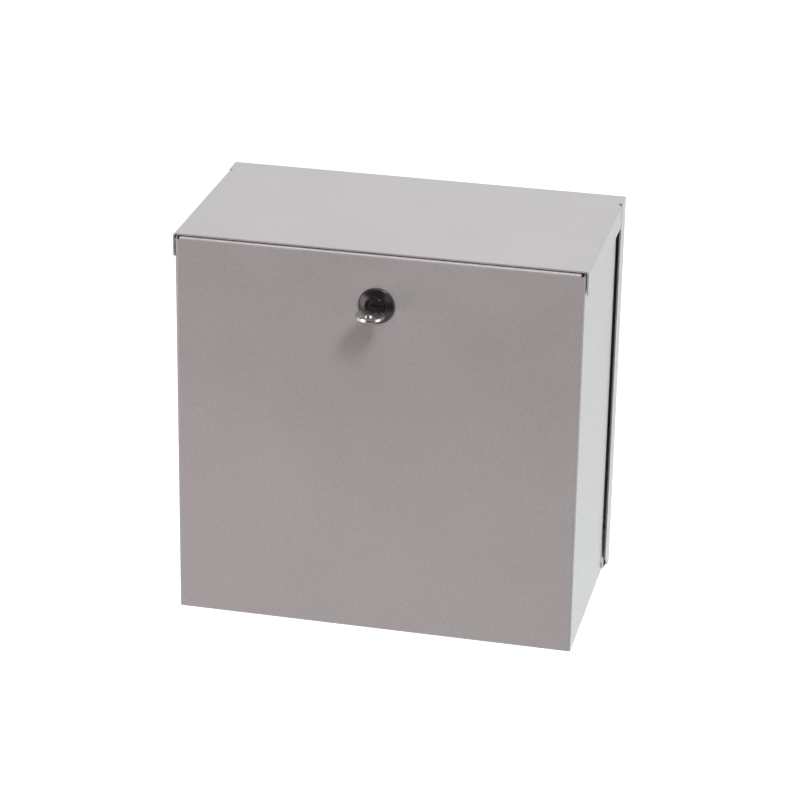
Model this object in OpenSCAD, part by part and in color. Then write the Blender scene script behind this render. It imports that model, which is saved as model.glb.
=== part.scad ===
// Steel wall enclosure with a drop-down front cover.
// A folded rear body carries the roof, and a folded pan-shaped cover swings down on two
// rivet hinges at its foot and is locked under the roof by a quarter-turn cam lock.
// Millimetres. X is to the right seen from the front, Y runs back to the wall and Z is up.
// The origin is on the wall plane, at the centre of the four wall holes.

/* [Body] */
// Width over the side strips and roof flanges
body_w = 304; // [280:1:330]
// Height from the bottom rim to the top of the roof
body_h = 304; // [280:1:330]
// Depth of the roof, from the wall to its front edge
roof_d = 168; // [150:1:200]
// Thickness of the body and cover sheet
sheet = 1.2; // [1:0.1:1.5]
// Outside radius of every fold
bend_r = 2; // [1.8:0.1:2.5]
// Depth of the strips at each side of the back plate
strip_d = 20; // [18:1:24]
// Depth of the rim along the bottom of the back plate
rim_d = 19; // [17:0.5:19]
// Height of the roof's side flanges
flange_h = 18; // [14:1:22]
// Width of the seam between a roof flange and its side strip
seam = 1.5; // [1:0.1:2]
// Corner cut off the foot of each side strip
foot_cut = 11; // [8:1:14]
// Diameter of the relief holes where the folds meet
relief_d = 3; // [2:0.5:4]

/* [Cover] */
// Width of the cover
cover_w = 300; // [276:1:326]
// Height of the cover
cover_h = 298; // [274:1:324]
// Depth of the cover's sides, from its face
cover_d = 140; // [120:1:170]
// How far the cover's face stands in front of the roof's edge
face_lead = 2; // [1:0.5:4]
// Gap between the cover's top and the underside of the roof
top_gap = 0.8; // [0.6:0.1:1.5]
// Depth of the return along the top of the cover
top_return = 14; // [10:1:15]

/* [Hinge] */
// Distance of the hinge axis in front of the wall
hinge_out = 27; // [26:0.5:28]
// Height of the hinge axis above the cover's underside
hinge_up = 6; // [6:0.5:7]
// Diameter of the hinge rivets
hinge_pin_d = 5; // [4:0.5:6]
// Thickness of the hinge brackets
bracket_t = 2; // [1.5:0.5:2.5]

/* [Lock] */
// Distance of the lock below the cover's top edge
lock_drop = 38; // [36:1:44]
// Diameter of the lock's collar
collar_d = 27; // [25:0.5:30]
// Diameter of the lock's threaded barrel
barrel_d = 20; // [18:0.5:20]
// Length of the barrel behind the cover's face
barrel_len = 20; // [20:1:24]
// Diameter of the turning plug
plug_d = 12; // [11:0.5:12]
// Reach of the cam from the lock's axis
cam_reach = 30; // [28:1:32]
// Thickness of the cam
cam_t = 2.4; // [2:0.1:3]
// Diameter of the key's bow
bow_d = 21; // [19:0.5:24]
// Distance of the bow's centre in front of the cover's face
bow_out = 21; // [19:0.5:24]

/* [Wall and cable holes] */
// Diameter of the wall holes
wall_hole_d = 7; // [5:0.5:8]
// Spacing of the wall holes across
wall_pitch_x = 240; // [230:1:250]
// Spacing of the wall holes up and down
wall_pitch_z = 250; // [240:1:260]
// Diameter of the two conduit entries
entry_d = 20.5; // [16.5:0.5:20.5]
// Spacing of the conduit entries
entry_pitch = 120; // [80:5:130]
// Height of the conduit entries above the bottom of the body
entry_up = 22; // [20:1:26]

/* [Mounting plate] */
// Width of the mounting plate
plate_w = 230; // [200:5:230]
// Height of the mounting plate
plate_h = 216; // [180:2:216]
// Thickness of the mounting plate
plate_t = 1.5; // [1.5:0.5:2]
// Distance that the spacers hold the plate off the back
stand_off = 10; // [8:1:15]
// Spacing of the plate's studs across
stud_pitch_x = 200; // [170:5:210]
// Spacing of the plate's studs up and down
stud_pitch_z = 190; // [150:5:196]
// Diameter of the plate's four holes for a module
module_hole_d = 4.5; // [3.5:0.5:5.5]
// Spacing of the module holes across
module_pitch_x = 140; // [80:10:160]
// Spacing of the module holes up and down
module_pitch_z = 100; // [60:10:150]

/* [Hidden] */
$fn = 64;

paint = [0.78, 0.77, 0.77];
zinc = [0.72, 0.73, 0.75];
black_zinc = [0.2, 0.19, 0.19];
brass = [0.8, 0.66, 0.36];
nylon = [0.93, 0.93, 0.9];

cut = 1;                               // how far a cutter runs past what it cuts
cover_top = body_h / 2 - sheet - top_gap;
cover_foot = cover_top - cover_h;
face_y = -(roof_d + face_lead);        // outer face of the cover
cover_back = face_y + cover_d;         // rear edge of the cover's sides
cover_in = cover_w / 2 - sheet;        // inner face of a cover side
hinge_y = -hinge_out;
hinge_z = cover_foot + hinge_up;
lock_z = cover_top - lock_drop;

// Running clearance on the radius of a turning fit
run_gap = 0.05;

// Hinge stack along X, from the outer face of a cover side inwards
ear_r = hinge_up;
rivet_head_d = 9;
rivet_head_t = 1.2;
washer_gap = 0.6;                      // thickness of the nylon washer
bracket_x = cover_in - washer_gap;     // outer face of a bracket's upright
clip_t = 0.8;
groove_depth = 0.5;
groove_low = bracket_x - bracket_t - 0.2 - clip_t;   // inner wall of the clip's groove
rivet_end = groove_low - 1.2;

// Lock levels along its own axis, measured forwards from the cover's face
collar_h = 3.2;
collar_seat = 1.3;                     // floor of the recess that holds the plug's head
recess_r = 7.2;
plug_head_r = 6.6;
plug_face = 2.6;
flats = barrel_d - 3;                  // distance across the barrel's two flats
stop_h = 1.6;                          // height of the stop on the barrel's rear end
lock_turn = 90;
lug_angle = 88;
shaft_d = 10;
shaft_flats = 8;
nut_t = 4;
shake_t = 1;
cam_front = -(barrel_len + stop_h + 0.1);
cam_back = cam_front - cam_t;
screw_hole_d = 4.2;
keyway_floor = -(barrel_len - 2.7);

// Key and wafers
blade_w = 6.8;
key_t = 2;
key_gap = 0.3;
shoulder = plug_face + 0.3;
blade_tip = keyway_floor + 0.4;
wafer_t = 1.1;
wafer_pitch = 3;
first_wafer = -2;
cuts = [0.9, 0.4, 1.1, 0.6, 0.9];      // depth of the key's cut at each wafer

// Mounting plate levels and its fixings
plate_back = -sheet - stand_off;
plate_front = plate_back - plate_t;
m5 = 5;
stud_len = 19;
washer_t = 1;

// Earth points
m6 = 6;
earth_len = 16;
earth_washer_t = 1.6;
earth_nut_t = 5;
earth_x = -95;
earth_z = -body_h / 2 + entry_up;
cover_earth_x = -120;
cover_earth_z = -120;

// ---------- Shapes that repeat ----------

// Carries a profile drawn in Y and Z along X, centred
module along_x(length) rotate([90, 0, 90]) linear_extrude(length, center = true) children();

// Carries a profile drawn in X and Z towards the front, from Y = 0
module to_front(length) rotate([90, 0, 0]) linear_extrude(length) children();

// Outline of a shallow trough, its open end at depth d
module trough(w, d, r) {
  translate([-w / 2, r]) square([w, d - r]);
  translate([r - w / 2, 0]) square([w - 2 * r, r + cut]);
  for (s = [-1, 1]) translate([s * (w / 2 - r), r]) circle(r);
}

// Section of a sheet folded at both sides: a web on the X axis and two legs
module fold_section(w, d) {
  difference() {
    trough(w, d, bend_r);
    translate([0, sheet]) trough(w - 2 * sheet, d, bend_r - sheet);
  }
}

// Section of one fold, a quarter ring in the first quadrant
module bend_section(r = bend_r, t = sheet) {
  intersection() {
    difference() {
      circle(r);
      circle(r - t);
    }
    square(r);
  }
}

// A welded and dressed corner where three faces meet, in the first octant
module corner() {
  intersection() {
    difference() {
      sphere(bend_r);
      sphere(bend_r - sheet);
    }
    cube(bend_r);
  }
}

// Puts a child on both sides of the object
module both_sides() for (s = [0, 1]) mirror([s, 0, 0]) children();

// Puts a child at the four corners of a pattern on the back plate
module pattern(px, pz) for (x = [-1, 1], z = [-1, 1]) translate([x * px / 2, 0, z * pz / 2]) children();

// A round rod or hole that starts at y and runs towards the front
module rod(d, length, y = 0) translate([0, y, 0]) rotate([90, 0, 0]) cylinder(d = d, h = length);

module ring(d, bore, length, y = 0) {
  difference() {
    rod(d, length, y);
    rod(bore, length + 2 * cut, y + cut);
  }
}

// Hexagon nut with a chamfered outer face, its seat at y
module hex_nut(across, bore, t, y) {
  difference() {
    intersection() {
      translate([0, y, 0]) rotate([90, 0, 0]) cylinder(r = across / sqrt(3), h = t, $fn = 6);
      translate([0, y, 0]) rotate([90, 0, 0]) nut_chamfer(across, t);
    }
    rod(bore, t + 2 * cut, y + cut);
  }
}

module nut_chamfer(across, t) {
  r = across / sqrt(3);
  rotate_extrude()
    polygon([[0, 0], [r + 0.1, 0], [r + 0.1, t - 0.14 * across], [across * 0.47, t], [0, t]]);
}

// Places a child on the lock's axis: its Z points out of the cover and its Y points up
module lock_frame() translate([0, face_y, lock_z]) rotate([90, 0, 0]) children();

// A slug between two levels of the lock's axis
module slug(d, low, high) translate([0, 0, low]) cylinder(d = d, h = high - low);

// A round slug with two flats, above and below
module flat_slug(d, across, low, high) {
  intersection() {
    slug(d, low, high);
    translate([-d, -across / 2, low]) cube([2 * d, across, high - low]);
  }
}

// ---------- Rear body ----------

module rear_body() {
  top = body_h / 2;
  half = body_w / 2;
  flange_back = strip_d + seam;
  color(paint) difference() {
    union() {
      // back plate with a strip folded forwards at each side
      translate([0, 0, bend_r - top]) linear_extrude(body_h - 2 * bend_r)
        mirror([0, 1]) fold_section(body_w, strip_d);
      both_sides() strip_ends();
      // roof with a flange folded down at each side
      translate([0, -flange_back, top]) to_front(roof_d - flange_back)
        mirror([0, 1]) fold_section(body_w, flange_h);
      translate([sheet - half, -flange_back - cut, top - sheet])
        cube([body_w - 2 * sheet, flange_back + cut - bend_r, sheet]);
      // folds from the back plate to the roof and to the bottom rim
      for (s = [0, 1]) mirror([0, 0, s]) {
        translate([0, -bend_r, top - bend_r]) along_x(body_w - 2 * bend_r) bend_section();
        both_sides() translate([half - bend_r, -bend_r, top - bend_r]) corner();
      }
      bottom_rim();
    }
    pattern(wall_pitch_x, wall_pitch_z) rod(wall_hole_d, sheet + 2 * cut, cut);
    for (x = [-1, 1]) translate([x * entry_pitch / 2, 0, entry_up - top])
      rod(entry_d, sheet + 2 * cut, cut);
    both_sides() corner_cuts();
  }
}

// The strips run on past the back plate's folds, to the top and bottom of the body
module strip_ends() {
  for (s = [0, 1]) mirror([0, 0, s])
    translate([body_w / 2 - sheet, -strip_d, body_h / 2 - bend_r - cut])
      cube([sheet, strip_d - bend_r, bend_r + cut]);
}

// The rim is nipped in towards its front corners
module bottom_rim() {
  side = body_w / 2 - sheet;
  nip = 1.8;
  translate([0, 0, -body_h / 2]) linear_extrude(sheet)
    polygon([[-side, -bend_r], [-side, -foot_cut], [nip - side, -rim_d],
             [side - nip, -rim_d], [side, -foot_cut], [side, -bend_r]]);
}

module corner_cuts() {
  half = body_w / 2;
  top = body_h / 2;
  nose = 2.5;
  // foot of the side strip
  translate([half - sheet - 0.01, -strip_d, -top]) rotate([90, 0, 90]) linear_extrude(sheet + cut)
    polygon([[-cut, -cut], [foot_cut + cut, -cut], [-cut, foot_cut + cut]]);
  // front lower corner of the roof flange
  translate([half - sheet - cut, -roof_d, top - flange_h]) rotate([90, 0, 90])
    linear_extrude(sheet + 2 * cut) polygon([[-cut, -cut], [nose, -cut], [-cut, nose]]);
  // relief hole drilled on the fold at the top of the seam
  translate([half - sheet / 2, -strip_d - seam / 2, top - sheet / 2]) {
    cylinder(d = relief_d, h = 2 * bend_r, center = true);
    rotate([0, 90, 0]) cylinder(d = relief_d, h = 2 * bend_r, center = true);
  }
}

// Striker that the cam turns up behind, welded under the roof
module keeper_bracket() {
  tab_t = 1.5;
  tab_w = 28;
  fold_r = 2.5;
  foot_d = 13;
  roof_z = body_h / 2 - sheet;
  tab_back = face_y - cam_front - 1;
  tab_low = lock_z + cam_reach / 2;
  color(zinc) intersection() {
    along_x(tab_w) {
      translate([tab_back - tab_t, tab_low - cut]) square([tab_t, roof_z - fold_r - tab_low + cut]);
      translate([tab_back - tab_t + fold_r, roof_z - tab_t]) square([foot_d - fold_r, tab_t]);
      translate([tab_back - tab_t + fold_r, roof_z - fold_r]) mirror([1, 0]) bend_section(fold_r, tab_t);
    }
    keeper_outline(tab_w, tab_low, roof_z);
  }
}

// Rounds the two lower corners of the striker's tab
module keeper_outline(w, low, high) {
  corner_r = 4;
  to_front(roof_d) {
    translate([-w / 2, low + corner_r]) square([w, high - low]);
    translate([corner_r - w / 2, low]) square([w - 2 * corner_r, corner_r + cut]);
    for (s = [-1, 1]) translate([s * (w / 2 - corner_r), low + corner_r]) circle(corner_r);
  }
}

// ---------- Hinges ----------

// Side view of a hinge bracket carried along X: an eye round the rivet and an arm to the wall
module bracket_side(length) {
  eye_r = 5.5;
  arm_low = hinge_z - 2.2;
  arm_top = hinge_z + 18;
  plate_y = -sheet;
  shoulder_z = hinge_z + eye_r - 0.5;
  hinge_axis() cylinder(r = eye_r, h = length, center = true);
  along_x(length)
    polygon([[hinge_y, shoulder_z], [hinge_y + 14, shoulder_z],
             [plate_y - bracket_t, arm_top], [plate_y, arm_top],
             [plate_y, arm_low], [hinge_y, arm_low]]);
}

// Plan view of a hinge bracket: a foot on the back plate and an upright beside the cover
module bracket_plan() {
  foot_w = 16;
  fold_r = 3;
  bend_x = bracket_x - fold_r;
  bend_y = -sheet - fold_r;
  translate([bracket_x - foot_w, -sheet - bracket_t]) square([foot_w - fold_r, bracket_t]);
  translate([bend_x, bend_y]) bend_section(fold_r, bracket_t);
  translate([bracket_x - bracket_t, hinge_y - 10]) square([bracket_t, bend_y - hinge_y + 10]);
}

module hinge_bracket() {
  color(zinc) difference() {
    intersection() {
      translate([0, 0, -body_h / 2]) linear_extrude(body_h / 2) bracket_plan();
      bracket_side(body_w);
    }
    hinge_axis() cylinder(d = hinge_pin_d + 2 * run_gap, h = body_w);
  }
}

module hinge_bracket_right() hinge_bracket();
module hinge_bracket_left() mirror([1, 0, 0]) hinge_bracket();

// Puts a child on the hinge axis, its Z pointing to the right
module hinge_axis() translate([0, hinge_y, hinge_z]) rotate([0, 90, 0]) children();

module hinge_washers() {
  color(nylon) both_sides() hinge_axis() translate([0, 0, bracket_x]) difference() {
    cylinder(d = 10, h = washer_gap - 0.1);
    translate([0, 0, -cut]) cylinder(d = hinge_pin_d + 2 * run_gap, h = washer_gap + 2 * cut);
  }
}

// Rivet with a low domed head outside the cover and a groove for its clip
module hinge_rivet() {
  head_low = cover_w / 2;
  pin_r = hinge_pin_d / 2;
  head_r = rivet_head_d / 2;
  color(zinc) hinge_axis() rotate_extrude() polygon([
    [0, rivet_end], [pin_r - 0.5, rivet_end], [pin_r, rivet_end + 0.5],
    [pin_r, groove_low], [pin_r - groove_depth, groove_low],
    [pin_r - groove_depth, groove_low + clip_t], [pin_r, groove_low + clip_t],
    [pin_r, head_low], [head_r, head_low], [head_r, head_low + 0.4],
    [head_r - 1.4, head_low + rivet_head_t], [0, head_low + rivet_head_t]]);
}

module hinge_rivet_right() hinge_rivet();
module hinge_rivet_left() mirror([1, 0, 0]) hinge_rivet();

// E-clips that hold the rivets' inner ends
module hinge_clips() {
  clip_d = 10;
  groove_d = hinge_pin_d - 2 * groove_depth;
  color(zinc) both_sides() hinge_axis()
    translate([0, 0, groove_low]) difference() {
      cylinder(d = clip_d, h = clip_t);
      translate([0, 0, -cut]) cylinder(d = groove_d, h = clip_t + 2 * cut);
      translate([0, -groove_d / 2 + 0.2, -cut]) cube([clip_d, groove_d - 0.4, clip_t + 2 * cut]);
      for (s = [-1, 1]) translate([-1.2, s * 3.6, -cut]) cylinder(d = 1.6, h = clip_t + 2 * cut);
    }
}

// ---------- Front cover ----------

module front_cover() {
  color(paint) difference() {
    union() {
      // face with a side folded back at each end
      translate([0, face_y, cover_foot + bend_r]) linear_extrude(cover_h - 2 * bend_r)
        fold_section(cover_w, cover_d);
      cover_bottom();
      cover_return();
      both_sides() cover_side_ends();
    }
    lock_frame() flat_slug(barrel_d + 0.2, flats + 0.2, -sheet - cut, cut);
    hinge_axis() cylinder(d = hinge_pin_d, h = cover_w + 2 * cut, center = true);
  }
}

// Bottom panel, folded from the face and welded at its front corners
module cover_bottom() {
  stop = 1;
  translate([0, face_y + bend_r, cover_foot + bend_r]) mirror([0, 0, 1]) {
    along_x(cover_w - 2 * bend_r) mirror([1, 0]) bend_section();
    both_sides() translate([cover_w / 2 - bend_r, 0, 0]) mirror([0, 1, 0]) corner();
  }
  translate([-cover_in, face_y + bend_r, cover_foot])
    cube([2 * cover_in, cover_d - bend_r - stop, sheet]);
}

// Return folded back under the roof, cut short of the sides to leave relief notches
module cover_return() {
  notch = 1.2;
  length = cover_w - 2 * (bend_r + notch);
  translate([0, face_y + bend_r, cover_top - bend_r]) along_x(length)
    mirror([1, 0]) bend_section();
  translate([-length / 2, face_y + bend_r, cover_top - sheet])
    cube([length, top_return - bend_r, sheet]);
}

// The sides run on to the top and foot of the cover, and end in the hinge ears
module cover_side_ends() {
  notch = 1.2;
  ear_rise = 20;
  ear_lean = 25;
  translate([cover_in, face_y + bend_r + notch, cover_top - bend_r - cut])
    cube([sheet, cover_d - bend_r - notch, bend_r + cut]);
  translate([cover_in, face_y + bend_r, cover_foot])
    cube([sheet, cover_d - bend_r, bend_r + cut]);
  translate([cover_w / 2 - sheet / 2, 0, 0]) along_x(sheet) {
    translate([hinge_y, hinge_z]) circle(ear_r);
    polygon([[cover_back - cut, cover_foot], [hinge_y, cover_foot], [hinge_y, hinge_z],
             [hinge_y + ear_r * cos(ear_lean), hinge_z + ear_r * sin(ear_lean)],
             [cover_back, cover_foot + ear_rise], [cover_back - cut, cover_foot + ear_rise]]);
  }
}

// ---------- Mounting plate and its fixings ----------

module mounting_plate() {
  corner_r = 6;
  color(zinc) translate([0, plate_back, 0]) difference() {
    to_front(plate_t) union() {
      translate([corner_r - plate_w / 2, -plate_h / 2]) square([plate_w - 2 * corner_r, plate_h]);
      translate([-plate_w / 2, corner_r - plate_h / 2]) square([plate_w, plate_h - 2 * corner_r]);
      for (x = [-1, 1], z = [-1, 1])
        translate([x * (plate_w / 2 - corner_r), z * (plate_h / 2 - corner_r)]) circle(corner_r);
    }
    pattern(stud_pitch_x, stud_pitch_z) rod(m5 + 0.5, plate_t + 2 * cut, cut);
    pattern(module_pitch_x, module_pitch_z) rod(module_hole_d, plate_t + 2 * cut, cut);
  }
}

module plate_studs() color(zinc) pattern(stud_pitch_x, stud_pitch_z) rod(m5, stud_len, -sheet);

module plate_spacers() {
  color(zinc) pattern(stud_pitch_x, stud_pitch_z) ring(10, m5 + 0.5, stand_off, -sheet);
}

module plate_washers() {
  color(zinc) pattern(stud_pitch_x, stud_pitch_z) ring(10, m5 + 0.3, washer_t, plate_front);
}

module plate_nuts() {
  color(zinc) pattern(stud_pitch_x, stud_pitch_z) hex_nut(8, m5, 4, plate_front - washer_t);
}

// ---------- Earth points ----------

module body_earth() translate([earth_x, 0, earth_z]) children();
module cover_earth() translate([cover_earth_x, face_y, cover_earth_z]) mirror([0, 1, 0]) children();

module earth_stud() rod(m6, earth_len, -sheet);
module earth_washers() {
  ring(12, m6 + 0.4, earth_washer_t, -sheet);
  ring(12, m6 + 0.4, earth_washer_t, -sheet - earth_washer_t - earth_nut_t);
}
module earth_nut() hex_nut(10, m6, earth_nut_t, -sheet - earth_washer_t);

module body_earth_stud() color(brass) body_earth() earth_stud();
module body_earth_washers() color(brass) body_earth() earth_washers();
module body_earth_nut() color(brass) body_earth() earth_nut();
module cover_earth_stud() color(brass) cover_earth() earth_stud();
module cover_earth_washers() color(brass) cover_earth() earth_washers();
module cover_earth_nut() color(brass) cover_earth() earth_nut();

// ---------- Cam lock ----------

// Half of the barrel's rear end stands proud as the stop that the washer's lug runs between
module stop_half() {
  rotate([0, 0, -lock_turn / 2]) translate([0, -barrel_d, -barrel_len - stop_h])
    cube([barrel_d, 2 * barrel_d, stop_h + cut]);
}

module lock_housing() {
  collar_r = collar_d / 2;
  color(black_zinc) lock_frame() difference() {
    union() {
      rotate_extrude() polygon([[0, 0], [collar_r, 0], [collar_r, 0.9], [collar_r - 0.6, 1.5],
                                [recess_r + 1.2, collar_h], [0, collar_h]]);
      flat_slug(barrel_d, flats, -barrel_len, cut);
      intersection() {
        flat_slug(barrel_d, flats, -barrel_len - stop_h, 0);
        stop_half();
      }
    }
    slug(plug_d + 2 * run_gap, -barrel_len - cut, collar_h + cut);
    slug(2 * recess_r, collar_seat, collar_h + cut);
    slug(14.2, -barrel_len - stop_h - cut, -barrel_len);
  }
}

module lock_washer() {
  color(zinc) lock_frame() difference() {
    slug(26, -sheet - shake_t, -sheet);
    slug(barrel_d + 0.2, -sheet - shake_t - cut, -sheet + cut);
    // shakeproof teeth round the rim
    for (a = [0 : 30 : 359]) rotate([0, 0, a]) translate([12.6, -0.7, -sheet - shake_t - cut])
      cube([2, 1.4, shake_t + 2 * cut]);
  }
}

module lock_nut() {
  across = 24;
  color(zinc) lock_frame() translate([0, 0, -sheet - shake_t]) mirror([0, 0, 1]) difference() {
    intersection() {
      cylinder(r = across / sqrt(3), h = nut_t, $fn = 6);
      nut_chamfer(across, nut_t);
    }
    translate([0, 0, -cut]) cylinder(d = barrel_d, h = nut_t + 2 * cut);
  }
}

module lock_plug() {
  edge = 0.5;
  slot_w = 1.3;
  color(black_zinc) lock_frame() difference() {
    union() {
      rotate_extrude() polygon([[0, -barrel_len], [plug_d / 2, -barrel_len],
                                [plug_d / 2, collar_seat + 0.1], [plug_head_r, collar_seat + 0.1],
                                [plug_head_r, plug_face - edge], [plug_head_r - edge, plug_face],
                                [0, plug_face]]);
      flat_slug(shaft_d, shaft_flats, cam_back + 0.1, -barrel_len + cut);
    }
    // keyway, lying flat while the cover is unlocked
    translate([-blade_w / 2 - key_gap, -key_t / 2 - key_gap, keyway_floor])
      cube([blade_w + 2 * key_gap, key_t + 2 * key_gap, plug_face - keyway_floor + cut]);
    for (i = [0 : len(cuts) - 1]) translate([-plug_d, -2.6, first_wafer - i * wafer_pitch - slot_w / 2])
      cube([2 * plug_d, 5.2, slot_w]);
    slug(screw_hole_d, cam_back - cut, keyway_floor - 1.2);
  }
}

// Five wafers, drawn in flush with the plug as a key holds them
module lock_wafers() {
  window_w = blade_w + 0.7;
  window_h = key_t + 0.7;
  color(brass) lock_frame() for (i = [0 : len(cuts) - 1])
    translate([0, 0, first_wafer - i * wafer_pitch - wafer_t / 2]) linear_extrude(wafer_t)
      difference() {
        intersection() {
          circle(d = plug_d - 0.2);
          square([plug_d, 5], center = true);
        }
        square([window_w, window_h], center = true);
      }
}

// Lets the plug turn a quarter turn
module stop_washer() {
  reach = barrel_d;
  color(zinc) lock_frame() difference() {
    union() {
      slug(13.8, -barrel_len - stop_h, -barrel_len - 0.1);
      intersection() {
        flat_slug(barrel_d - 0.4, barrel_d, -barrel_len - stop_h, -barrel_len - 0.1);
        translate([0, 0, -barrel_len - stop_h]) linear_extrude(stop_h)
          polygon([[0, 0], [-reach * cos(lug_angle / 2), reach * sin(lug_angle / 2)],
                   [-reach * cos(lug_angle / 2), -reach * sin(lug_angle / 2)]]);
      }
    }
    flat_slug(shaft_d, shaft_flats, -barrel_len - stop_h - cut, -barrel_len + cut);
  }
}

module lock_cam() {
  hub_r = 8.5;
  tip_r = 6;
  color(zinc) lock_frame() difference() {
    translate([0, 0, cam_back]) linear_extrude(cam_t) {
      circle(hub_r);
      translate([tip_r - cam_reach, 0]) circle(tip_r);
      translate([tip_r - cam_reach, -tip_r]) square([cam_reach - tip_r, 2 * tip_r]);
    }
    flat_slug(shaft_d, shaft_flats, cam_back - cut, cam_front + cut);
  }
}

module cam_washer() {
  color(zinc) lock_frame() difference() {
    slug(11, cam_back - 1, cam_back);
    slug(m5 + 0.3, cam_back - 1 - cut, cam_back + cut);
  }
}

module cam_screw() {
  head_t = 3;
  head_d = 9.5;
  seat = cam_back - 1;
  color(zinc) lock_frame() difference() {
    union() {
      rotate_extrude() polygon([[0, seat], [head_d / 2, seat], [head_d / 2, seat - head_t + 1],
                                [head_d / 2 - 1, seat - head_t], [0, seat - head_t]]);
      slug(screw_hole_d, seat, keyway_floor - 1.6);
    }
    for (a = [0, 90]) rotate([0, 0, a]) translate([-2.4, -0.5, seat - head_t - cut])
      cube([4.8, 1, 1.6 + cut]);
  }
}

// ---------- Key ----------

// Flat outline of the key: X across it, Y outwards from the cover's face
module key_outline() {
  neck_w = 9;
  hole_d = 6;
  difference() {
    union() {
      translate([0, bow_out]) circle(d = bow_d);
      translate([-neck_w / 2, shoulder]) square([neck_w, bow_out - shoulder]);
      translate([-blade_w / 2, blade_tip + 1.6]) square([blade_w, shoulder - blade_tip]);
      polygon([[-blade_w / 2, blade_tip + 1.6], [-1.6, blade_tip], [1.6, blade_tip],
               [blade_w / 2, blade_tip + 1.6]]);
    }
    translate([0, bow_out + bow_d / 2 - hole_d]) circle(d = hole_d);
    for (s = [-1, 1], i = [0 : len(cuts) - 1])
      translate([s * (blade_w / 2 - cuts[i]), first_wafer - i * wafer_pitch])
        polygon([[0, -0.5], [0, 0.5], [s * 1.4, 1.3], [s * 1.4, -1.3]]);
  }
}

module key() {
  groove_w = 1.4;
  groove_d = 0.5;
  color(zinc) lock_frame() difference() {
    rotate([90, 0, 0]) linear_extrude(key_t, center = true) key_outline();
    for (s = [0, 1]) mirror([0, s, 0]) mirror([s, 0, 0])
      translate([0.3, key_t / 2 - groove_d, blade_tip - cut])
        cube([groove_w, groove_d + cut, shoulder - blade_tip + cut + 3]);
  }
}

rear_body();
keeper_bracket();
hinge_bracket_left();
hinge_bracket_right();
hinge_washers();
mounting_plate();
plate_studs();
plate_spacers();
plate_washers();
plate_nuts();
body_earth_stud();
body_earth_washers();
body_earth_nut();
front_cover();
hinge_rivet_left();
hinge_rivet_right();
hinge_clips();
cover_earth_stud();
cover_earth_washers();
cover_earth_nut();
lock_housing();
lock_washer();
lock_nut();
lock_plug();
lock_wafers();
stop_washer();
lock_cam();
cam_washer();
cam_screw();
key();
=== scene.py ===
"""Steel wall enclosure: surfaces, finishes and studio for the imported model.

Metres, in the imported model's frame: X to the right, Y back to the wall, Z up. The
file follows the box as it is put together, one section for each piece or group.
"""

import math

import bmesh
import bpy
import numpy as np
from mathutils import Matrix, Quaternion, Vector


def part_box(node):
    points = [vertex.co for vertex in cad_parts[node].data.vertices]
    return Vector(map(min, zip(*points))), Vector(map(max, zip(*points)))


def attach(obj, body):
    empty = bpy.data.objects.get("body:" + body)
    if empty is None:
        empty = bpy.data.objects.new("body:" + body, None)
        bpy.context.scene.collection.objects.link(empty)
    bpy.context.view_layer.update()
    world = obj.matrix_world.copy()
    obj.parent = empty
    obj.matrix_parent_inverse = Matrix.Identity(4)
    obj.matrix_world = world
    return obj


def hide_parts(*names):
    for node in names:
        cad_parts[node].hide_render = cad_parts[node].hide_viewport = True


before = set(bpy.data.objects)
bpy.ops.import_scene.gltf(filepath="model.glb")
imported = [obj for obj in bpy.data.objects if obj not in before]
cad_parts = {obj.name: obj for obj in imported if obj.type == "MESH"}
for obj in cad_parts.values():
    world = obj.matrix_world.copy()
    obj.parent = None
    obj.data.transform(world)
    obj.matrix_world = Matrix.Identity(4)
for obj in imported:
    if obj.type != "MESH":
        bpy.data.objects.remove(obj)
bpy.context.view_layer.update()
MM = 0.001


# ------------------------------------------------------------------ camera
# A long lens stands a little to the right of the box and looks down on it, so that the
# roof and the right side show. The camera is rolled by about one degree.
camera = bpy.data.objects.new("camera", bpy.data.cameras.new("camera"))
bpy.context.scene.collection.objects.link(camera)
bpy.context.scene.camera = camera
camera.data.lens = 134.2
camera.data.sensor_width = 36.0
round_to_right, above, roll = (math.radians(a) for a in (12.558, 23.157, 0.953))
aimed_at = Vector((0.00983, -0.13201, 0.02400))
towards_camera = Vector(
    (
        math.sin(round_to_right) * math.cos(above),
        -math.cos(round_to_right) * math.cos(above),
        math.sin(above),
    )
)
distance = 2.2
camera.location = aimed_at + distance * towards_camera
camera.rotation_mode = "QUATERNION"
camera.rotation_quaternion = (-towards_camera).to_track_quat("-Z", "Y") @ Quaternion(
    (0, 0, 1), roll
)
camera.data.clip_start, camera.data.clip_end = 0.05, 50.0


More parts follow.
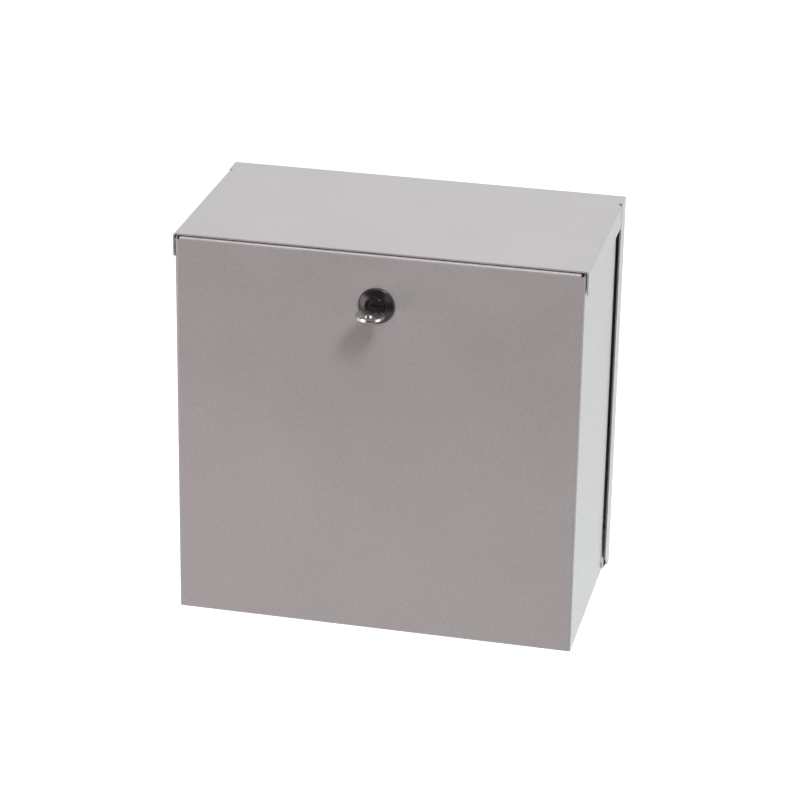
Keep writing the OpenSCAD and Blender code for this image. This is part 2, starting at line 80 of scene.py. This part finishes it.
# --------------------------------------------------------------- rear body
# The back plate, its side strips, the roof and the bottom rim are one sheet of 1.2 mm
# steel, cut, folded and powder coated light grey. The coat is about 0.08 mm thick, draws
# back a little at raw edges and rounds them, and has a fine orange-peel skin.
class Flow:
    """A socket's output in a material. Sums and products of Flows add Math nodes."""

    def __init__(self, tree, socket=None):
        self.tree, self.socket = tree, socket

    def node(self, kind, settings=(), values=(), out=0):
        """Adds a node: first its settings, then the values or Flows of its sockets, by
        name or number."""
        made = self.tree.nodes.new(kind)
        for name, value in dict(settings).items():
            setattr(made, name, value)
        for name, value in dict(values).items():
            if isinstance(value, Flow):
                self.tree.links.new(value.socket, made.inputs[name])
            else:
                made.inputs[name].default_value = value
        return Flow(self.tree, made.outputs[out])

    def feed(self, shader, name):
        """Links this Flow into a socket of a shader node."""
        self.tree.links.new(self.socket, shader.inputs[name])

    def maths(self, operation, first, second):
        return self.node("ShaderNodeMath", {"operation": operation}, {0: first, 1: second})

    def __add__(self, other):
        return self.maths("ADD", self, other)

    def __sub__(self, other):
        return self.maths("SUBTRACT", self, other)

    def __rsub__(self, other):
        return self.maths("SUBTRACT", other, self)

    def __mul__(self, other):
        return self.maths("MULTIPLY", self, other)

    __radd__, __rmul__ = __add__, __mul__

    def noise(self, grain_mm, detail=2.0, stretch=None):
        """Noise from 0 to 1 about 0.5, on Object coordinates, with grains of that size.
        A stretch of (x, y, z) lengthens the grains along those axes."""
        place = self
        if stretch:
            place = self.node(
                "ShaderNodeMapping", {"vector_type": "POINT"},
                {"Vector": self, "Scale": [1.0 / s for s in stretch]},
            )
        return place.node(
            "ShaderNodeTexNoise", {},
            {"Vector": place, "Scale": 1000.0 / grain_mm, "Detail": detail},
        )

    def tint(self, low, high):
        """The colour low where this Flow is 0 and high where it is 1."""
        return self.node(
            "ShaderNodeMix", {"data_type": "RGBA"},
            {0: self, 6: (*low, 1.0), 7: (*high, 1.0)}, 2,
        )

    def bump(self, depth_mm):
        """A normal bent by this Flow as a height, where 1 stands for depth_mm."""
        return self.node("ShaderNodeBump", {}, {"Height": self, "Distance": depth_mm * MM})


def finish(name, **fixed):
    """A material with one Principled shader, whose even sockets are set here. Returns the
    material, the shader and a Flow of Object coordinates."""
    material = bpy.data.materials.new(name)
    material.use_nodes = True
    tree = material.node_tree
    shader = tree.nodes["Principled BSDF"]
    for socket, value in fixed.items():
        shader.inputs[socket.replace("_", " ")].default_value = value
    return material, shader, Flow(tree).node("ShaderNodeTexCoord", out="Object")


paint, shader, place = finish("powder_coat", IOR=1.52, Coat_Weight=0.3, Coat_Roughness=0.10)
skin = place.noise(1.3, 3.0)
grain = place.noise(0.55, 1.0)
drift = place.noise(70.0, 1.0)
(0.5 + 1.5 * (skin - 0.5) + 1.0 * (grain - 0.5) + 0.5 * (drift - 0.5)).tint(
    (0.415, 0.400, 0.401), (0.525, 0.512, 0.513)
).feed(shader, "Base Color")
(0.19 + 0.10 * (skin - 0.5) + 0.04 * (drift - 0.5)).feed(shader, "Roughness")
(skin + 0.35 * grain).bump(0.028).feed(shader, "Normal")


def worked_edges(node, name, width_mm, angle=38.0, segments=2):
    """A merged copy of a CAD node, its flat facets joined and its sharp edges rounded to
    width_mm by a Bevel, so that its edges catch light as real ones do."""
    solid = bmesh.new()
    solid.from_mesh(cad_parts[node].data)
    bmesh.ops.remove_doubles(solid, verts=solid.verts, dist=1e-6)
    bmesh.ops.dissolve_limit(
        solid, angle_limit=math.radians(0.3), verts=solid.verts, edges=solid.edges
    )
    mesh = bpy.data.meshes.new(name)
    solid.to_mesh(mesh)
    solid.free()
    mesh.materials.clear()
    mesh.polygons.foreach_set("use_smooth", [True] * len(mesh.polygons))
    mesh.set_sharp_from_angle(angle=math.radians(angle))
    piece = bpy.data.objects.new(name, mesh)
    bpy.context.scene.collection.objects.link(piece)
    edge = piece.modifiers.new("edges", "BEVEL")
    edge.limit_method, edge.angle_limit = "ANGLE", math.radians(angle)
    edge.width, edge.segments = width_mm * MM, segments
    edge.use_clamp_overlap, edge.harden_normals = True, True
    flats = piece.modifiers.new("flats", "WEIGHTED_NORMAL")
    flats.keep_sharp, flats.weight = True, 100
    return piece


def fit(piece, material, body, slot, *nodes):
    """Gives a finished piece its material and its body, and hides the nodes it stands for. The slot
    argument is not used.
    """
    piece.data.materials.append(material)
    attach(piece, body)
    if nodes:
        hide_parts(*nodes)
    return piece


COATED_EDGE_MM = 0.28
fit(worked_edges("rear_body", "rear_body_coated", COATED_EDGE_MM),
    paint, "housing", "powder_coat", "rear_body")


# ------------------------------------------------------------- front cover
# The cover is a pan of the same sheet and coat: a face with two sides, a bottom and a
# short return at the top. Its two lower corners are welded and dressed before coating.
fit(worked_edges("front_cover", "front_cover_coated", COATED_EDGE_MM),
    paint, "cover", "powder_coat", "front_cover")


# ---------------------------------------------- keeper and hinge brackets
# Pressed steel angles, bright zinc plated and welded to the body. Plating leaves a cold
# silver skin with a faint cloud in it and the rolling lines of the strip underneath.
zinc, shader, place = finish("zinc_plated_steel", Metallic=1.0)
cloud = place.noise(9.0, 3.0)
lines = place.noise(0.5, 2.0, stretch=(1.0, 1.0, 14.0))
(0.5 + 0.9 * (cloud - 0.5) + 0.5 * (lines - 0.5)).tint(
    (0.56, 0.575, 0.60), (0.74, 0.745, 0.755)
).feed(shader, "Base Color")
(0.31 + 0.16 * (cloud - 0.5) + 0.12 * (lines - 0.5)).feed(shader, "Roughness")
(lines + 0.4 * place.noise(1.4)).bump(0.010).feed(shader, "Normal")

for node in ("keeper_bracket", "hinge_bracket_left", "hinge_bracket_right"):
    fit(worked_edges(node, node + "_pressed", 0.25), zinc, "housing", "zinc_plated_steel", node)


# ----------------------------------------------- mounting plate and fixings
# A bare zinc-plated plate stands off the back on four welded M5 studs, with a turned
# spacer behind it and a plain washer and hexagon nut in front of it at each one.
fit(worked_edges("mounting_plate", "mounting_plate_sheared", 0.2), zinc, "housing",
    "zinc_plated_steel", "mounting_plate")


def skin_of(name, grid, origin, across, up, out):
    """A closed mesh from a grid (rows, columns, 3) of points in a part's own three axes.
    The columns run round and close on themselves. The first and last rows close on the
    axis where they have no radius, and otherwise meet each other. The mesh is turned
    outwards by the sign of its volume."""
    rows, columns = grid.shape[:2]
    axes = np.array([across, up, out], float)
    points = np.asarray(origin) + grid.reshape(-1, 3) @ axes
    ring = np.abs(grid[0, :, :2]).max() > 1e-9
    row = np.arange(rows if ring else rows - 1)[:, None]
    column = np.arange(columns)[None, :]
    here, beyond = row * columns, (row + 1) % rows * columns
    after = (column + 1) % columns
    faces = np.stack([here + column, here + after, beyond + after, beyond + column], -1)
    faces = faces.reshape(-1, 4)
    a, b, c, d = (points[faces[:, i]] for i in range(4))
    volume = (np.cross(c - a, d - b) * (a + b + c + d)).sum()
    if volume < 0:
        faces = faces[:, ::-1]
    mesh = bpy.data.meshes.new(name)
    mesh.from_pydata(points.tolist(), [], faces.tolist())
    merged = bmesh.new()
    merged.from_mesh(mesh)
    bmesh.ops.remove_doubles(merged, verts=merged.verts, dist=1e-7)
    merged.to_mesh(mesh)
    merged.free()
    mesh.polygons.foreach_set("use_smooth", [True] * len(mesh.polygons))
    mesh.set_sharp_from_angle(angle=math.radians(42))
    piece = bpy.data.objects.new(name, mesh)
    bpy.context.scene.collection.objects.link(piece)
    return piece


def turned(profile, columns=64):
    """Grid of a turned part: each (radius, height) of the profile carried round the axis,
    x = radius cos(angle), y = radius sin(angle), z = height."""
    radius, height = np.array(profile, float).T[:, :, None]
    angle = np.linspace(0, 2 * np.pi, columns, endpoint=False)[None, :]
    return np.stack(
        [radius * np.cos(angle), radius * np.sin(angle), height + 0 * angle], -1
    )


def threaded(grid, pitch, depth, start, stop):
    """Cuts a rounded V thread into a turned grid between two heights. The cut is deepest
    where height / pitch - angle / turn is halfway between whole numbers, and fades out
    over half a pitch at both ends."""
    x, y, z = np.moveaxis(grid, -1, 0)
    radius = np.hypot(x, y)
    phase = (z / pitch - np.arctan2(y, x) / (2 * np.pi)) % 1.0
    fade = np.clip(np.minimum(z - start, stop - z) / (0.5 * pitch), 0, 1)
    cut = depth * fade * (0.5 - 0.5 * np.cos(2 * np.pi * phase))
    scale = np.where(radius > 2 * depth, 1 - cut / np.maximum(radius, 1e-9), 1.0)
    return np.stack([x * scale, y * scale, z], -1)


def stud(diameter, length, pitch, columns=28):
    """Grid of a threaded stud with a chamfered free end: closed rows every sixth of a
    pitch, the thread's depth 0.61 of the pitch."""
    radius, chamfer = diameter / 2, 0.7 * pitch
    rows = np.arange(0, length - chamfer, pitch / 6)
    profile = [(0, 0), (radius, 0)] + [(radius, h) for h in rows[1:]]
    profile += [(radius, length - chamfer), (radius - chamfer, length), (0, length)]
    return threaded(turned(profile, columns), pitch, 0.61 * pitch, pitch, length + pitch)


LEFT_RIGHT, UP_DOWN, FORWARD, BACKWARD = (1, 0, 0), (0, 0, 1), (0, -1, 0), (0, 1, 0)
low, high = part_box("plate_studs")
stud_radius = 2.5 * MM
for side, x in (("left", low.x + stud_radius), ("right", high.x - stud_radius)):
    for level, z in (("low", low.z + stud_radius), ("top", high.z - stud_radius)):
        grid = stud(2 * stud_radius, high.y - low.y, 0.8 * MM)
        piece = skin_of(f"plate_stud_{side}_{level}", grid, (x, high.y, z),
                        LEFT_RIGHT, UP_DOWN, FORWARD)
        fit(piece, zinc, "housing", "zinc_plated_steel", "plate_studs")
for node in ("plate_spacers", "plate_washers", "plate_nuts"):
    fit(worked_edges(node, node + "_turned", 0.15),
        zinc, "housing", "zinc_plated_steel", node)


# ------------------------------------------------------------- earth points
# An M6 brass stud with two brass washers and a nut on the back plate, and the same on
# the cover, where the earth lead from the body ends. Handled brass dulls unevenly.
brass, shader, place = finish("brass", Metallic=1.0)
tarnish = place.noise(4.0, 4.0)
(0.5 + 1.4 * (tarnish - 0.5)).tint(
    (0.56, 0.40, 0.17), (0.80, 0.64, 0.32)
).feed(shader, "Base Color")
(0.30 + 0.25 * (tarnish - 0.5)).feed(shader, "Roughness")
place.noise(0.9).bump(0.008).feed(shader, "Normal")

for body, point, out in (("housing", "body_earth", FORWARD), ("cover", "cover_earth", BACKWARD)):
    low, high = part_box(point + "_stud")
    seat = high.y if out is FORWARD else low.y
    centre = ((low.x + high.x) / 2, seat, (low.z + high.z) / 2)
    grid = stud(high.x - low.x, high.y - low.y, 1.0 * MM)
    fit(skin_of(point + "_stud_threaded", grid, centre, LEFT_RIGHT, UP_DOWN, out),
        brass, body, "brass", point + "_stud")
    for kind in ("_washers", "_nut"):
        fit(worked_edges(point + kind, point + kind + "_turned", 0.15),
            brass, body, "brass", point + kind)


# ------------------------------------------------------------------- hinges
# A low-headed steel rivet passes through each cover ear, a nylon washer and the bracket,
# and an E-clip holds its inner end. The heads are coated with the cover.
low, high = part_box("hinge_rivet_right")
axis_y, axis_z = (low.y + high.y) / 2, (low.z + high.z) / 2
head_radius, head_height, pin_radius = (high.z - low.z) / 2, 1.2 * MM, 2.5 * MM
clip_thickness = 0.8 * MM
dome = np.linspace(0, np.pi / 2, 9)
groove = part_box("hinge_clips")[1].x
length = high.x - low.x
clip_out = high.x - groove
pin = [(0, length), (pin_radius - 0.5 * MM, length), (pin_radius, length - 0.5 * MM),
       (pin_radius, clip_out + clip_thickness),
       (pin_radius - 0.5 * MM, clip_out + clip_thickness),
       (pin_radius - 0.5 * MM, clip_out), (pin_radius, clip_out), (pin_radius, head_height)]
head = [(head_radius * np.sin(a) ** 0.85, head_height * (1 - np.cos(a)) ** 1.1 * 0.75)
        for a in dome]
profile = head + [(head_radius, head_height)] + pin[::-1]
for side, sign in (("left", -1), ("right", 1)):
    grid = turned(profile, 40)
    rivet = skin_of(f"hinge_rivet_{side}_headed", grid, (sign * high.x, axis_y, axis_z),
                    BACKWARD, UP_DOWN, (-sign, 0, 0))
    fit(rivet, paint, "cover", "powder_coat", "hinge_rivet_" + side)
fit(worked_edges("hinge_clips", "hinge_clips_stamped", 0.1),
    zinc, "cover", "zinc_plated_steel", "hinge_clips")

nylon, shader, place = finish(
    "nylon", Roughness=0.42, Subsurface_Weight=0.15, Subsurface_Scale=0.002
)
place.noise(1.2, 2.0).tint((0.80, 0.80, 0.76), (0.90, 0.90, 0.87)).feed(shader, "Base Color")
place.noise(0.7).bump(0.02).feed(shader, "Normal")
fit(worked_edges("hinge_washers", "hinge_washers_moulded", 0.1),
    nylon, "housing", "nylon", "hinge_washers")


# ------------------------------------------------------------ lock housing
# A die-cast zinc housing, plated black: a collar with a coned face round the recessed
# plug, and an M20 threaded barrel with two flats that a hexagon nut clamps from behind.
black, shader, place = finish("black_zinc", IOR=1.38, Coat_Weight=0.25, Coat_Roughness=0.08)
pits = place.noise(0.8, 3.0)
(0.5 + 1.2 * (pits - 0.5)).tint(
    (0.010, 0.009, 0.0095), (0.024, 0.021, 0.022)
).feed(shader, "Base Color")
(0.24 + 0.2 * (pits - 0.5)).feed(shader, "Roughness")
pits.bump(0.02).feed(shader, "Normal")

low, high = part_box("lock_housing")
cover_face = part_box("front_cover")[0].y
lock_x, lock_z = (low.x + high.x) / 2, (low.z + high.z) / 2
collar_front, barrel_end = cover_face - low.y, cover_face - high.y
lock_seat = (lock_x, cover_face, lock_z)


def eased(corners, steps=4):
    """A profile through (radius, height, easing) corners, each corner turned into an arc
    of steps points between two points its easing away from it on either side."""
    places = np.array([c[:2] for c in corners], float)
    reach = np.array([c[2] for c in corners], float)[:, None]
    before, after = np.roll(places, 1, 0) - places, np.roll(places, -1, 0) - places
    before /= np.maximum(np.linalg.norm(before, axis=1, keepdims=True), 1e-12)
    after /= np.maximum(np.linalg.norm(after, axis=1, keepdims=True), 1e-12)
    t = np.linspace(0, 1, steps)[None, :, None]
    first, last = (places + before * reach)[:, None], (places + after * reach)[:, None]
    curve = (1 - t) ** 2 * first + 2 * t * (1 - t) * places[:, None] + t ** 2 * last
    keep = np.ones((len(corners), steps), bool)
    keep[reach[:, 0] == 0, 1:] = False
    return curve[keep]


barrel_r, bore_r, recess_r = 10.0 * MM, 6.05 * MM, 7.2 * MM
stop_height = 1.6 * MM
thread_rows = np.arange(-0.4, barrel_end / MM + stop_height / MM + 0.3, -1 / 6) * MM
collar = eased([(recess_r, 1.3 * MM, 0), (recess_r, collar_front, 0.25 * MM),
                (recess_r + 1.2 * MM, collar_front, 0.35 * MM), (12.9 * MM, 1.55 * MM, 0.5 * MM),
                (13.5 * MM, 0.9 * MM, 0.35 * MM), (13.5 * MM, 0.0, 0.1 * MM), (barrel_r, 0.0, 0)])
barrel = np.stack([np.full_like(thread_rows, barrel_r), thread_rows], -1)
floor_of_barrel = barrel_end + stop_height
rear = np.array([(9.9 * MM, floor_of_barrel), (9.9 * MM, barrel_end), (7.1 * MM, barrel_end),
                 (7.1 * MM, floor_of_barrel), (bore_r, floor_of_barrel), (bore_r, 1.3 * MM)])
grid = turned(np.concatenate([collar, barrel, rear]), 120)
grid = threaded(grid, 1.0 * MM, 0.6 * MM, floor_of_barrel, -0.2 * MM)
# half of the barrel's end stands proud as the stop, centred below and to the right
x, y, z = np.moveaxis(grid, -1, 0)
z[:] = np.where(x - y > 0, z, np.maximum(z, floor_of_barrel))
flat = 8.5 * MM
on_barrel = (z < -0.1 * MM) & (np.hypot(x, y) > 9 * MM)
grid[..., 1] = np.where(on_barrel, np.clip(y, -flat, flat), y)
fit(skin_of("lock_housing_cast", grid, lock_seat, LEFT_RIGHT, UP_DOWN, FORWARD),
    black, "cover", "black_zinc", "lock_housing")
for node in ("lock_washer", "lock_nut"):
    fit(worked_edges(node, node + "_turned", 0.2), zinc, "cover", "zinc_plated_steel", node)


# --------------------------------------------------------- plug and its cam
# The plug turns in the barrel and carries five brass wafers. Behind it a stop washer
# limits the turn, and a screw and washer hold the flat steel cam on its shaft.
fit(worked_edges("lock_plug", "lock_plug_turned", 0.12),
    black, "lock_core", "black_zinc", "lock_plug")
fit(worked_edges("lock_wafers", "lock_wafers_blanked", 0.08),
    brass, "lock_core", "brass", "lock_wafers")
for node in ("stop_washer", "lock_cam", "cam_washer", "cam_screw"):
    fit(worked_edges(node, node + "_blanked", 0.2),
        zinc, "lock_core", "zinc_plated_steel", node)


# ---------------------------------------------------------------------- key
# A flat key with a round bow, blanked from 2 mm strip, milled and nickel plated. Use has
# rubbed the flats of the bow, and its edge is coined round.
nickel, shader, place = finish("nickel", Metallic=1.0)
rubbed = place.noise(2.5, 4.0)
(0.5 + 1.2 * (rubbed - 0.5)).tint((0.50, 0.49, 0.48), (0.78, 0.77, 0.75)).feed(shader, "Base Color")
(0.20 + 0.25 * (rubbed - 0.5)).feed(shader, "Roughness")
(rubbed + 0.3 * place.noise(0.8)).bump(0.05).feed(shader, "Normal")
fit(worked_edges("key", "key_milled", 0.7, segments=3), nickel, "key", "nickel", "key")


# ------------------------------------------------------------------ studio
# The box hangs in the air of a white studio, well above a pale floor, as on a wall. Large
# soft lamps light its right side and roof, and a smaller one ahead lights its face. Two
# dark cards, seen only in reflections, shade its face and the lock's collar.
world = bpy.data.worlds.new("studio")
bpy.context.scene.world = world
world.use_nodes = True
sky = Flow(world.node_tree)
rays = sky.node("ShaderNodeLightPath")
seen = sky.maths("MAXIMUM", rays, Flow(sky.tree, rays.socket.node.outputs["Is Glossy Ray"]))
seen = sky.maths("MAXIMUM", seen, Flow(sky.tree, rays.socket.node.outputs["Is Transmission Ray"]))
background = world.node_tree.nodes["Background"]
background.inputs["Color"].default_value = (1.0, 1.0, 1.0, 1.0)
fill = 0.13
(fill + (1 - fill) * seen).feed(background, "Strength")


def card(name, corners, material):
    """A flat four-cornered sheet of studio gear that isn't part of the object."""
    mesh = bpy.data.meshes.new(name)
    mesh.from_pydata(corners, [], [(0, 1, 2, 3)])
    mesh.materials.append(material)
    sheet = bpy.data.objects.new(name, mesh)
    bpy.context.scene.collection.objects.link(sheet)
    return sheet


floor_z = -0.95
white_floor, shader, place = finish(
    "white_floor", Roughness=0.6, Base_Color=(0.8, 0.8, 0.8, 1.0),
    Emission_Color=(1.0, 1.0, 1.0, 1.0),
)
rays = place.node("ShaderNodeLightPath")
mirrored = Flow(place.tree, rays.socket.node.outputs["Is Glossy Ray"])
seen_level, mirrored_level = 0.95, 0.73
(seen_level * rays + mirrored_level * mirrored).feed(shader, "Emission Strength")
card("floor", [(-6, -6, floor_z), (6, -6, floor_z), (6, 6, floor_z), (-6, 6, floor_z)],
     white_floor)

black_card, shader, place = finish(
    "black_card", Roughness=1.0, Base_Color=(0.02, 0.02, 0.02, 1.0)
)
flag = card("flag", [(-6.0, -4.4, floor_z + 0.01), (-6.0, -14.0, floor_z + 0.01),
                     (6.0, -14.0, floor_z + 0.01), (3.0, -0.95, floor_z + 0.01)], black_card)
screen = card("screen", [(-5.0, -5.0, floor_z), (1.1, -5.0, floor_z), (1.1, -5.0, 3.0),
                         (-5.0, -5.0, 3.0)], black_card)
for dark in (flag, screen):
    dark.visible_camera = dark.visible_diffuse = dark.visible_shadow = False


def softbox(name, place, aim, size, watts, colour=(1.0, 1.0, 1.0)):
    """An area lamp at a place, turned to face the aim."""
    lamp = bpy.data.lights.new(name, "AREA")
    lamp.shape, lamp.size, lamp.size_y = "RECTANGLE", *size
    lamp.energy, lamp.color = watts, colour
    stand = bpy.data.objects.new(name, lamp)
    bpy.context.scene.collection.objects.link(stand)
    stand.location = place
    stand.rotation_mode = "QUATERNION"
    stand.rotation_quaternion = (Vector(aim) - Vector(place)).to_track_quat("-Z", "Y")
    return stand


middle = (0.0, -0.09, 0.0)
softbox("key_lamp", (0.68, -1.17, 1.44), middle, (0.35, 0.35), 11.4)
softbox("roof_lamp", (0.0, -0.2, 1.9), middle, (1.4, 1.4), 19.0, (1.0, 0.914, 0.921))
softbox("side_lamp", (1.9, -0.7, -0.55), middle, (1.2, 1.2), 5.0, (1.0, 0.90, 0.83))
softbox("back_lamp", (1.6, 0.7, 0.9), middle, (1.0, 1.0), 7.4, (0.64, 1.0, 0.99))
softbox("low_lamp", (-1.6, -2.0, -0.3), middle, (1.2, 1.2), 17.5, (1.0, 0.80, 0.82))

bpy.context.scene.view_settings.view_transform = "Standard"
